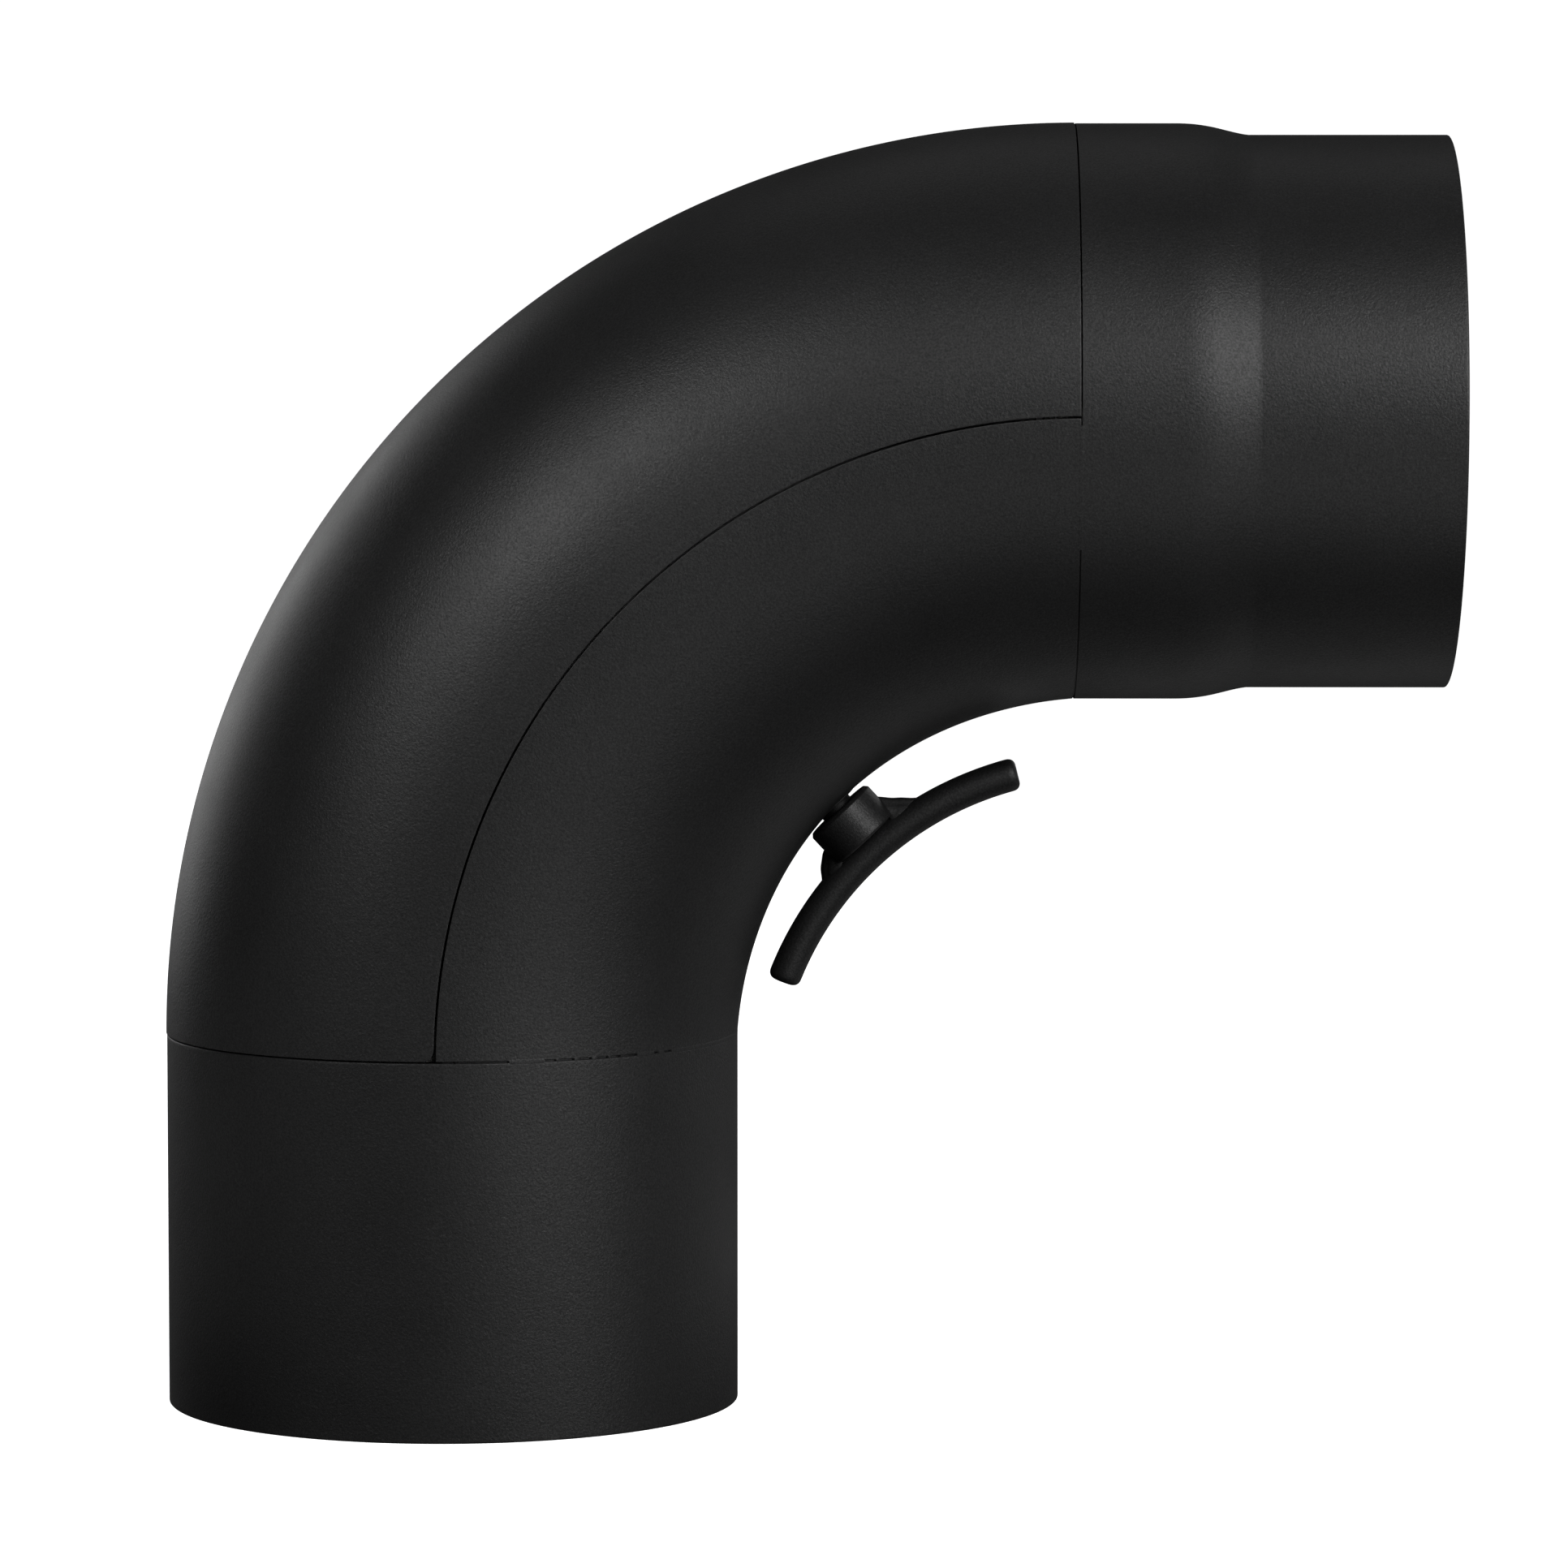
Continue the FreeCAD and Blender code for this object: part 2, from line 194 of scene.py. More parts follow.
def ramp(tree, value, stops):
    """Map a value to colours; stops is a list of (position, grey or rgb)."""
    node = tree.nodes.new("ShaderNodeValToRGB")
    elements = node.color_ramp.elements
    while len(elements) < len(stops):
        elements.new(0.5)
    for element, (position, colour) in zip(elements, stops):
        if not hasattr(colour, "__len__"):
            colour = (colour, colour, colour)
        element.position = position
        element.color = (*colour, 1.0)
    tree.links.new(value, node.inputs["Fac"])
    return node.outputs["Color"]


def to_range(tree, value, low, high, out_low, out_high):
    node = tree.nodes.new("ShaderNodeMapRange")
    node.inputs["From Min"].default_value = low
    node.inputs["From Max"].default_value = high
    node.inputs["To Min"].default_value = out_low
    node.inputs["To Max"].default_value = out_high
    tree.links.new(value, node.inputs["Value"])
    return node.outputs["Result"]


def mix(tree, factor, a, b, kind="MIX"):
    node = tree.nodes.new("ShaderNodeMix")
    node.data_type = "RGBA"
    node.blend_type = kind
    sockets = [s for s in node.inputs if s.type == "RGBA"]
    factor_socket = node.inputs["Factor"]
    if hasattr(factor, "is_output"):
        tree.links.new(factor, factor_socket)
    else:
        factor_socket.default_value = factor
    for socket, value in zip(sockets, (a, b)):
        if hasattr(value, "is_output"):
            tree.links.new(value, socket)
        else:
            socket.default_value = (*value, 1.0)
    return [s for s in node.outputs if s.type == "RGBA"][0]


def bump(tree, height, strength, distance, under=None):
    node = tree.nodes.new("ShaderNodeBump")
    node.inputs["Strength"].default_value = strength
    node.inputs["Distance"].default_value = distance
    tree.links.new(height, node.inputs["Height"])
    if under is not None:
        tree.links.new(under, node.inputs["Normal"])
    return node.outputs["Normal"]


# --- materials ---

def heat_paint(name, base=0.0098, spread=0.0015, roughness=0.46, grain=1.0, specular=0.42):
    """Sprayed matt black stove paint: fine grain, faint clouding, a few paler specks."""
    material, tree, shader = new_material(name)
    where = coordinates(tree)
    clouds = noise(tree, where, 22.0, detail=4.0)
    tint = ramp(tree, clouds, [
        (0.30, (base - spread, base - spread, base - spread * 0.9)),
        (0.70, (base + spread, base + spread, base + spread * 1.1)),
    ])
    grains = noise(tree, where, 1500.0, detail=2.0, roughness=0.7)
    speck = ramp(tree, grains, [(0.62, 0.0), (0.76, 1.0)])
    tint = mix(tree, speck, tint, (base * 2.4, base * 2.4, base * 2.5))
    pits = ramp(tree, noise(tree, where, 1700.0, detail=1.0), [(0.24, 1.0), (0.34, 0.0)])
    tint = mix(tree, pits, tint, (base * 0.55, base * 0.55, base * 0.55))
    tree.links.new(tint, shader.inputs["Base Color"])
    patchy = noise(tree, where, 35.0, detail=3.0)
    tree.links.new(to_range(tree, patchy, 0.25, 0.75, roughness - 0.03, roughness + 0.04),
                   shader.inputs["Roughness"])
    sparkle = noise(tree, where, 1900.0, detail=1.0)
    tree.links.new(to_range(tree, sparkle, 0.3, 0.7, specular * 0.72, specular * 1.28),
                   shader.inputs["Specular IOR Level"])
    peel = bump(tree, noise(tree, where, 420.0, detail=2.0), 0.04, 0.0001)
    tree.links.new(bump(tree, grains, grain, 0.0001, under=peel), shader.inputs["Normal"])
    return material


def inside_paint(name):
    """Thin overspray inside the pipe, with mill scale and grey steel showing through."""
    material, tree, shader = new_material(name)
    where = coordinates(tree)
    thin = ramp(tree, noise(tree, where, 30.0, detail=6.0, roughness=0.65), [(0.42, 0.0), (0.68, 1.0)])
    steel = ramp(tree, noise(tree, where, 90.0, detail=5.0), [
        (0.3, (0.045, 0.045, 0.048)),
        (0.7, (0.085, 0.083, 0.080)),
    ])
    tint = mix(tree, thin, (0.018, 0.018, 0.019), steel)
    tree.links.new(tint, shader.inputs["Base Color"])
    tree.links.new(to_range(tree, thin, 0.0, 1.0, 0.62, 0.48), shader.inputs["Roughness"])
    shader.inputs["Specular IOR Level"].default_value = 0.4
    grains = noise(tree, where, 1500.0, detail=3.0)
    tree.links.new(bump(tree, grains, 0.4, 0.00006), shader.inputs["Normal"])
    return material


def plated_steel(name, base, roughness, tint=(1.0, 1.0, 1.0)):
    """Zinc plate or bare turned steel with fine turning marks and dull patches."""
    material, tree, shader = new_material(name)
    where = coordinates(tree)
    patch = noise(tree, where, 140.0, detail=4.0)
    low = tuple(base * 0.72 * c for c in tint)
    high = tuple(base * 1.1 * c for c in tint)
    tree.links.new(ramp(tree, patch, [(0.3, low), (0.7, high)]), shader.inputs["Base Color"])
    tree.links.new(to_range(tree, patch, 0.3, 0.7, roughness + 0.12, roughness),
                   shader.inputs["Roughness"])
    shader.inputs["Metallic"].default_value = 1.0
    marks = noise(tree, where, 900.0, detail=3.0, stretch=(1.0, 0.25, 1.0))
    tree.links.new(bump(tree, marks, 0.25, 0.00004), shader.inputs["Normal"])
    return material


def glass_tape(name):
    """Woven black glass-fibre sealing tape, a little sooty."""
    material, tree, shader = new_material(name)
    where = coordinates(tree)
    height = None
    for turn in (0.6, -0.6):
        mapping = tree.nodes.new("ShaderNodeMapping")
        mapping.inputs["Rotation"].default_value = (0.4, turn, 0.3)
        tree.links.new(where, mapping.inputs["Vector"])
        wave = tree.nodes.new("ShaderNodeTexWave")
        wave.inputs["Scale"].default_value = 280.0
        wave.inputs["Distortion"].default_value = 0.8
        wave.inputs["Detail"].default_value = 2.0
        tree.links.new(mapping.outputs["Vector"], wave.inputs["Vector"])
        if height is None:
            height = wave.outputs["Color"]
        else:
            height = mix(tree, 1.0, height, wave.outputs["Color"], kind="MULTIPLY")
    soot = ramp(tree, noise(tree, where, 60.0, detail=5.0), [(0.35, 0.0), (0.75, 0.8)])
    weave = ramp(tree, height, [(0.0, (0.045, 0.045, 0.044)), (0.6, (0.13, 0.128, 0.122))])
    tree.links.new(mix(tree, soot, weave, (0.035, 0.034, 0.033)), shader.inputs["Base Color"])
    shader.inputs["Roughness"].default_value = 0.9
    shader.inputs["Sheen Weight"].default_value = 0.2
    tree.links.new(bump(tree, height, 0.7, 0.0003), shader.inputs["Normal"])
    return material


# --- mesh helpers ---

def grid_faces(rows, cols, wrap_cols=False, wrap_rows=False):
    """Quads over a grid of rows x cols vertices, numbered row by row."""
    faces = []
    for i in range(rows if wrap_rows else rows - 1):
        j_next_row = (i + 1) % rows
        for j in range(cols if wrap_cols else cols - 1):
            k = (j + 1) % cols
            faces.append((i * cols + j, i * cols + k, j_next_row * cols + k, j_next_row * cols + j))
    return faces


def new_piece(name, node, materials, points, faces,
              inside=None, ease=0.0, sharp=32.0, hole=None):
    """Closed mesh from points in mm. It replaces one CAD node and rides on that node's body.
    inside(centre) says which faces take the second material; hole is an object to cut away."""
    mesh = bpy.data.meshes.new(name)
    mesh.from_pydata((np.asarray(points, float) * 0.001).tolist(), [], faces)
    shape = bmesh.new()
    shape.from_mesh(mesh)
    bmesh.ops.remove_doubles(shape, verts=shape.verts, dist=1e-7)
    bmesh.ops.dissolve_degenerate(shape, edges=shape.edges, dist=1e-8)
    bmesh.ops.recalc_face_normals(shape, faces=shape.faces)
    shape.to_mesh(mesh)
    shape.free()
    piece = add_object(name, mesh)
    if hole is not None:
        cut = piece.modifiers.new("hole", "BOOLEAN")
        cut.object = hole
        cut.solver = "EXACT"
        bake_modifiers(piece, [cut])
    if ease:
        bake_modifiers(piece, [bevel_modifier(piece, ease)])
    finish_piece(piece, node, materials, inside, sharp)
    return piece


def bevel_modifier(piece, width):
    modifier = piece.modifiers.new("ease", "BEVEL")
    modifier.width = width * 0.001
    modifier.segments = 2
    modifier.limit_method = "ANGLE"
    modifier.angle_limit = math.radians(40)
    return modifier


def bake_modifiers(piece, modifiers):
    """Turn the piece's modifiers into its mesh."""
    bpy.context.view_layer.update()
    evaluated = piece.evaluated_get(bpy.context.evaluated_depsgraph_get())
    mesh = bpy.data.meshes.new_from_object(evaluated)
    for modifier in modifiers:
        piece.modifiers.remove(modifier)
    piece.data = mesh


def finish_piece(piece, node, materials, inside, sharp):
    mesh = piece.data
    shade_smooth(mesh)
    mesh.set_sharp_from_angle(angle=math.radians(sharp))
    mesh.materials.clear()
    for material in materials:
        mesh.materials.append(material)
    for polygon in mesh.polygons:
        if inside is not None and inside(np.array(polygon.center) * 1000.0):
            polygon.material_index = 1
        else:
            polygon.material_index = 0
    body = next(b for b, nodes in frame["record"]["behaviour"]["bodies"].items() if node in nodes)
    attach(piece, body)
    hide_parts(node)


def eased_copy(name, node, materials, ease):
    """The CAD node's own shape with its cut edges rounded."""
    mesh = frame["nodes"][node].data
    points = [np.array(v.co) * 1000.0 for v in mesh.vertices]
    faces = [tuple(p.vertices) for p in mesh.polygons]
    return new_piece(name, node, materials, points, faces, ease=ease)


def rounded(corners, radius, steps=3):
    """Closed 2-D outline with each corner rounded."""
    corners = [np.array(c, float) for c in corners]
    outline = []
    for i, corner in enumerate(corners):
        before = corners[i - 1] - corner
        after = corners[(i + 1) % len(corners)] - corner
        reach = min(radius, 0.45 * np.linalg.norm(before), 0.45 * np.linalg.norm(after))
        start = corner + before / np.linalg.norm(before) * reach
        end = corner + after / np.linalg.norm(after) * reach
        for t in np.linspace(0, 1, steps + 1):
            outline.append((1 - t) ** 2 * start + 2 * t * (1 - t) * corner + t ** 2 * end)
    return np.array(outline)


def turned(outline, place, count=128):
    """Turn a closed outline of (radius, height) right round; place maps (x, y, height) to the frame."""
    angles = np.arange(count) / count * 2 * math.pi
    points = []
    for a in angles:
        for radius, height in outline:
            points.append(place(radius * math.cos(a), radius * math.sin(a), height))
    return np.array(points), grid_faces(count, len(outline), wrap_cols=True, wrap_rows=True)


def carried(rings):
    """Solid through a list of closed rings of equal length, with flat ends."""
    rows, cols = len(rings), len(rings[0])
    points = np.concatenate(rings)
    faces = grid_faces(rows, cols, wrap_cols=True)
    faces.append(tuple(range(cols))[::-1])
    faces.append(tuple((rows - 1) * cols + j for j in range(cols)))
    return points, faces


def sheet_solid(outer, inner):
    """Solid between two grids of points, an outer and an inner skin."""
    rows, cols = outer.shape[:2]
    ring = np.concatenate([outer, inner[:, ::-1]], axis=1)
    faces = grid_faces(rows, 2 * cols, wrap_cols=True)
    for row in (0, rows - 1):
        base = row * 2 * cols
        for j in range(cols - 1):
            far = 2 * cols - 1 - j
            quad = (base + j, base + j + 1, base + far - 1, base + far)
            faces.append(quad if row else quad[::-1])
    return ring.reshape(-1, 3), faces


# --- places on the elbow ---

def bend_point(phi, out, side):
    """Point at angle phi round the bend, out from the centreline and side along Y."""
    rho = BEND_R + out
    return np.stack([BEND_R - rho * np.cos(phi), side + 0 * rho, LEG + rho * np.sin(phi)], axis=-1)


def section(phi, radius, theta):
    """Point on a circular section of the bend; theta 0 is the back, 90 degrees the front."""
    return bend_point(phi, radius * np.cos(theta), -radius * np.sin(theta))


def inlet_place(x, y, z):
    return np.array((x, y, z))


def outlet_place(x, y, z):
    """z runs out along the outlet from the plane x = 0 of the frame."""
    return np.array((z, y, BEND_R + LEG + x))


def latch_axes():
    tilt = math.radians(LATCH_TILT)
    axis = OUTWARD * math.cos(tilt) + ALONG * math.sin(tilt)
    level = CENTRE + OUTWARD * LATCH_LEVEL + ALONG * LATCH_SHIFT
    return level - axis * LATCH_LEVEL, np.cross(ACROSS, axis), axis


LATCH_FOOT, LATCH_ALONG, LATCH_AXIS = latch_axes()


def latch_place(x, y, z):
    return LATCH_FOOT + LATCH_ALONG * x + ACROSS * y + LATCH_AXIS * z


def throat_bulge(phi):
    """How far the throat stands out past a true torus, in its own plane."""
    return INNER_BULGE * (1 - (1 - math.sin(2 * phi)) ** BULGE_RISE)


def back_bulge(phi):
    """The same for the back, which is even all the way round."""
    return OUTER_BULGE


def wobble(phi, theta):
    """Slight unevenness of pressed sheet, fading to nothing at the seams."""
    fade = np.clip(np.sin(2 * phi) * 4.0, 0, 1) * np.clip(np.abs(np.cos(theta)) * 5.0, 0, 1)
    waves = (np.sin(7 * phi + 2.1 * theta + 0.4) + 0.7 * np.sin(13 * phi - 3.3 * theta + 1.9)
             + 0.5 * np.sin(5.1 * theta - 9 * phi + 4.0) + 0.4 * np.sin(19 * phi + 6 * theta))
    return WOBBLE * fade * waves / 2.6


# --- pieces ---

def fill_runs(outline, step=6.0, margin=0.35):
    """Split the long sides of a closed outline, with a point close to each end of every side."""
    filled = []
    for i, start in enumerate(outline):
        end = outline[(i + 1) % len(outline)]
        length = np.linalg.norm(end - start)
        filled.append(start)
        if length > 3 * margin:
            inner = np.linspace(margin, length - margin, max(2, int(length / step) + 1))
            filled += [start + (end - start) * d / length for d in inner]
    return np.array(filled)


def edge_steps(length, step, margin=0.35):
    """Distances along a run, with an extra one close to each end."""
    return np.concatenate([[0.0], np.linspace(margin, length - margin, int(length / step)), [length]])


def taper_radius(x):
    """Clamped cubic through the swage's shares; x is the distance from the collar's end."""
    knots = np.array(TAPER_SHAPE)
    drop = PIPE_R - SPIGOT_R
    width = TAPER_LENGTH / (len(knots) - 1)
    height = knots[:, 1] * drop
    system = np.eye(len(knots))
    slopes = np.zeros(len(knots))
    slopes[-1] = TAPER_END_SLOPE * drop / TAPER_LENGTH
    for i in range(1, len(knots) - 1):
        system[i, i - 1:i + 2] = (1, 4, 1)
        slopes[i] = 3 * (height[i + 1] - height[i - 1]) / width
    slopes = np.linalg.solve(system, slopes)
    i = np.clip((x / width).astype(int), 0, len(knots) - 2)
    t = x / width - i
    value = ((1 + 2 * t) * (1 - t) ** 2 * height[i] + t * (1 - t) ** 2 * width * slopes[i]
             + t * t * (3 - 2 * t) * height[i + 1] + t * t * (t - 1) * width * slopes[i + 1])
    return PIPE_R - value


def in_pipe(centre):
    """True for a face on the inside of either straight pipe."""
    lower = centre[2] < LEG + 1 and math.hypot(centre[0], centre[1]) < BORE_R + 0.9
    x, z = centre[0], centre[2] - BEND_R - LEG
    outer = PIPE_R - 1.0 if x < BEND_R + COLLAR_LENGTH else SPIGOT_R - 1.0
    return lower or (x > BEND_R - 1 and math.hypot(centre[1], z) < outer)


def in_bend(centre):
    """True for a face on the inside of the bend."""
    x, y, z = centre - CENTRE
    rho = math.hypot(x, z)
    phi = math.atan2(z, -x)
    bulge = throat_bulge(phi) if rho < BEND_R else OUTER_BULGE
    radius = math.hypot(rho - BEND_R, y)
    return radius < PIPE_R - 1 + bulge * abs(rho - BEND_R) / radius


def make_inlet_pipe(paint, inside):
    recess = BORE_R + RECESS
    corners = [(PIPE_R, 0), (PIPE_R, LEG), (recess, LEG), (recess, LEG - RECESS_LENGTH),
               (BORE_R, LEG - RECESS_LENGTH), (BORE_R, 0)]
    outline = fill_runs(rounded(corners, 0.35))
    points, faces = turned(outline, inlet_place, count=256)
    new_piece("inlet_tube", "inlet_pipe", [paint, inside], points, faces, inside=in_pipe)


def make_outlet_pipe(paint, inside):
    taper = BEND_R + COLLAR_LENGTH
    rim = BEND_R + LEG
    recess = BORE_R + RECESS
    along = np.linspace(0, TAPER_LENGTH, 25)
    swage = taper_radius(along)
    back = rounded([(recess, BEND_R + RECESS_LENGTH), (recess, BEND_R), (PIPE_R, BEND_R)], 0.0, 1)[::2]
    outside = [(r, taper + x) for r, x in zip(swage, along)]
    front = [(SPIGOT_R, rim - 0.45), (SPIGOT_R - 0.1, rim - 0.2), (SPIGOT_R - 0.35, rim - 0.04),
             (SPIGOT_R - 0.6, rim), (SPIGOT_R - WALL + 0.25, rim), (SPIGOT_R - WALL, rim - 0.25)]
    inside_run = [(r - WALL, taper + x) for r, x in zip(swage[::-1], along[::-1])]
    bore = [(BORE_R, BEND_R + RECESS_LENGTH)]
    outline = np.array([tuple(p) for p in back] + outside + front + inside_run + bore)
    points, faces = turned(fill_runs(outline), outlet_place, count=256)
    new_piece("outlet_tube", "outlet_pipe", [paint, inside], points, faces, inside=in_pipe)


def bend_skin(distances, split_gaps, side, bulge, depth, steps=100):
    """Grid of points over one half of the bend, its back (side 1) or its throat (side -1).
    distances run along the neutral line from the inlet seam; split_gaps are the half's edges there."""
    total = BEND_R * math.pi / 2
    across = edge_steps(1.0, 1.0 / steps, margin=0.0015)
    rows = []
    for distance, gap in zip(distances, split_gaps):
        share = distance / total
        in_plane = PIPE_R - depth + bulge(share * math.pi / 2)
        lateral = PIPE_R - depth
        edge = math.acos(gap / in_plane)
        theta = edge * (2 * across - 1)
        out = side * in_plane * np.cos(theta)
        start = np.arcsin(SEAM_GAP / (BEND_R + out))
        phi = start + share * (math.pi / 2 - 2 * start)
        lift = 1 + wobble(phi, theta) / PIPE_R
        rows.append(bend_point(phi, out * lift, -lateral * np.sin(theta) * lift))
    return np.array(rows)


def make_throat_shell(paint, inside):
    distances = edge_steps(BEND_R * math.pi / 2, 2.2)
    gaps = np.full(len(distances), SPLIT_GAP)
    skins = [bend_skin(distances, gaps, -1, throat_bulge, depth) for depth in (0.0, WALL)]
    points, faces = sheet_solid(*skins)
    hole = latch_cutter(BUSH_R, 80.0, 96.0)
    new_piece("throat_sheet", "inner_bend_shell", [paint, inside], points, faces,
              inside=in_bend, ease=SHEET_EASE, hole=hole)
    bpy.data.objects.remove(hole)


def make_back_shell(paint, inside):
    total = BEND_R * math.pi / 2
    corner = np.array([0.0, 0.15, 0.35, 0.6, 0.9, 1.3, 1.7, 2.2, 2.7])
    distances = np.concatenate([corner, np.linspace(CORNER_R, total - 0.35, 116), [total]])
    short = np.clip(CORNER_R - distances, 0, None)
    gaps = SPLIT_GAP + CORNER_R - np.sqrt(CORNER_R ** 2 - short ** 2)
    skins = [bend_skin(distances, gaps, 1, back_bulge, depth) for depth in (0.0, WALL)]
    points, faces = sheet_solid(*skins)
    new_piece("back_sheet", "outer_bend_shell", [paint, inside], points, faces,
              inside=in_bend, ease=SHEET_EASE)


def latch_cutter(radius, low, high):
    """Round bar on the latch axis for cutting a hole; it is removed after use."""
    outline = np.array([(0.001, low), (radius, low), (radius, high), (0.001, high)])
    points, faces = turned(outline, latch_place, count=64)
    mesh = bpy.data.meshes.new("cutter")
    mesh.from_pydata((points * 0.001).tolist(), [], faces)
    return add_object("cutter", mesh)


def smooth_random(count, span, seed):
    """Random values from 0 to 1 that change over about span samples."""
    rng = np.random.default_rng(seed)
    knots = rng.random(count // span + 2)
    return np.interp(np.arange(count) / span, np.arange(len(knots)), knots)


def open_seam(theta, runs, seed):
    """How open the seam is at each angle, 0 where it is ground flush and 1 where a line is left.
    runs is a list of (start, end, share left open)."""
    left = np.zeros(len(theta))
    rough = smooth_random(len(theta), 4, seed)
    for start, end, share in runs:
        within = (theta >= math.radians(start)) & (theta < math.radians(end))
        left[within] = rough[within] < share
    return left


def make_girth_weld(name, node, place, runs, seed, paint, inside):
    """Weld ground flush outside, where thin lines of the saw gap are left, and a bead inside."""
    start = math.acos(-WELD_START / PIPE_R)
    theta = np.linspace(start, 2 * math.pi - start, 560)
    left = open_seam(theta, runs, seed)
    rings = []
    for angle, line in zip(theta, left):
        ripple = 0.18 * abs(math.sin(angle * 29)) + 0.12 * math.sin(angle * 11 + seed)
        top = PIPE_R + WELD_PROUD - LINE_DEPTH * line
        spread = FLUSH_WIDTH * (1 - line)
        shoulder = PIPE_R - WELD_PROUD - LINE_DEPTH * line
        profile = [(top, SEAM_GAP + 0.5 * spread), (shoulder, SEAM_GAP + spread), *BEAD_OUT]
        profile += [(r - ripple, h) for r, h in BEAD_TOP]
        profile += [*BEAD_BACK, (shoulder, -spread), (top, -0.5 * spread)]
        rings.append([place(-r * math.cos(angle), -r * math.sin(angle), h) for r, h in profile])
    points, faces = carried(np.array(rings))
    new_piece(name, node, [paint, inside], points, faces,
              inside=lambda c: section_radius(c) < PIPE_R - 1.2)


def section_radius(centre):
    """Distance from the pipe's centreline near either seam."""
    if centre[0] > BEND_R - 5 and centre[2] > BEND_R:
        return math.hypot(centre[1], centre[2] - BEND_R - LEG)
    return math.hypot(centre[0], centre[1])


def tape_outline(start, width):
    """Section of a tape from the seat up to just short of the cover, as (radius, distance across)."""
    low, high = SEAT_R, BORE_R - GASKET_CLEAR
    return rounded([(low, start), (high, start), (high, width), (low, width)], TAPE_ROUND, 4)


def braided(outline, i):
    """Radii of a tape's section at its step i, with ribs over its upper side."""
    upper = outline[:, 0] > SEAT_R + 0.3
    return outline[:, 0] - TAPE_BRAID * (1 + math.sin(i * 1.9)) * upper


def make_side_tape(name, node, side, tape):
    """Sealing tape on a side rail, along the bend; side is 1 in front and -1 behind."""
    outline = tape_outline(0, math.radians(RAIL_SPAN - SIDE_TAPE_LESS) * PIPE_R)
    theta = side * (math.radians(SIDE_TAPE_EDGE) - outline[:, 1] / PIPE_R)
    start = SEAT_ANGLE + SIDE_TAPE_START
    angles = np.radians(np.linspace(start, 90 - start, 340))
    rings = [section(phi, braided(outline, i), theta) for i, phi in enumerate(angles)]
    points, faces = carried(np.array(rings))
    new_piece(name, node, [tape], points, faces, sharp=60)


def make_end_tape(name, node, mirrored, tape):
    """Sealing tape on an end strip, round the back of the pipe; mirrored is for the outlet."""
    outline = tape_outline(0.05, math.radians(SEAT_ANGLE) * BEND_R)
    phi = outline[:, 1] / BEND_R
    if mirrored:
        phi = math.pi / 2 - phi
    angles = np.radians(np.linspace(-END_TAPE_REACH, END_TAPE_REACH, 330))
    rings = [section(phi, braided(outline, i), theta) for i, theta in enumerate(angles)]
    points, faces = carried(np.array(rings))
    new_piece(name, node, [tape], points, faces, sharp=60)


def thread_radius(height, angle, crest):
    """Radius of a right-hand V thread with flattened crests."""
    phase = (height / THREAD_PITCH - angle / (2 * math.pi)) % 1.0
    ridge = np.clip(THREAD_FLAT * (1 - np.abs(2 * phase - 1)), 0, 1)
    return crest - THREAD_DEPTH * (1 - ridge)


def make_tie_rod(zinc):
    """Rod threaded at both ends, with its tips chamfered."""
    crest = ROD_R - 0.02
    low_end, high_start = THREAD_ENDS
    lower = np.arange(ROD_LOW, low_end, THREAD_PITCH / 9)
    plain = np.linspace(low_end + 0.6, high_start - 0.1, 30)
    upper = np.arange(high_start + 0.5, ROD_HIGH, THREAD_PITCH / 9)
    heights = np.concatenate([lower, plain, upper, [ROD_HIGH]])
    angles = np.arange(40) / 40 * 2 * math.pi
    rings = []
    for h in heights:
        cut = thread_radius(h, angles, crest)
        threaded = h < low_end or h > high_start
        radius = cut if threaded else np.full(len(angles), crest)
        point = min(h - ROD_LOW, ROD_HIGH - h)
        radius = np.minimum(radius, crest - 1.0 + point)
        rings.append([latch_place(r * math.cos(a), r * math.sin(a), h)
                      for r, a in zip(radius, angles)])
    points, faces = carried(np.array(rings))
    new_piece("rod", "tie_rod", [zinc], points, faces, sharp=38)


def make_nut(name, node, low, zinc):
    """Hexagon nut, its corners turned off to a 30 degree cone at both ends."""
    flat = NUT_FLATS / 2
    corner = flat / math.cos(math.radians(30))
    angles = np.arange(96) / 96 * 2 * math.pi
    rings = []
    for a in angles:
        turn = a % math.radians(60) - math.radians(30)
        radius = min(flat / math.cos(turn), corner - 0.12)
        cone = (radius - flat * 0.985) * math.tan(math.radians(30))
        profile = [(ROD_R, 0.35), (ROD_R + 0.45, 0.0), (flat * 0.97, 0.0), (flat * 0.985, 0.02),
                   (radius, cone + 0.02), (radius, cone + 0.3),
                   (radius, NUT_HEIGHT - cone - 0.3), (radius, NUT_HEIGHT - cone - 0.02),
                   (flat * 0.985, NUT_HEIGHT - 0.02), (flat * 0.97, NUT_HEIGHT),
                   (ROD_R + 0.45, NUT_HEIGHT), (ROD_R, NUT_HEIGHT - 0.35)]
        rings.append([latch_place(r * math.cos(a), r * math.sin(a), low + h) for r, h in profile])
    points = np.concatenate(np.array(rings))
    faces = grid_faces(len(rings), len(rings[0]), wrap_cols=True, wrap_rows=True)
    new_piece(name, node, [zinc], points, faces, sharp=28)


def make_spring_washer(low, steel):
    """Split spring washer, flattened between the nut and the strap."""
    bore, top = ROD_R + 0.2, SPRING_WASHER_T - 0.02
    corners = [(bore, 0.02), (SPRING_WASHER_R, 0.02), (SPRING_WASHER_R, top), (bore, top)]
    outline = rounded(corners, 0.3)
    rings = []
    for a in np.radians(np.linspace(77, 423, 110)):
        rings.append([latch_place(r * math.cos(a), r * math.sin(a), low + h) for r, h in outline])
    points, faces = carried(np.array(rings))
    new_piece("lock_washer", "spring_washer", [steel], points, faces)


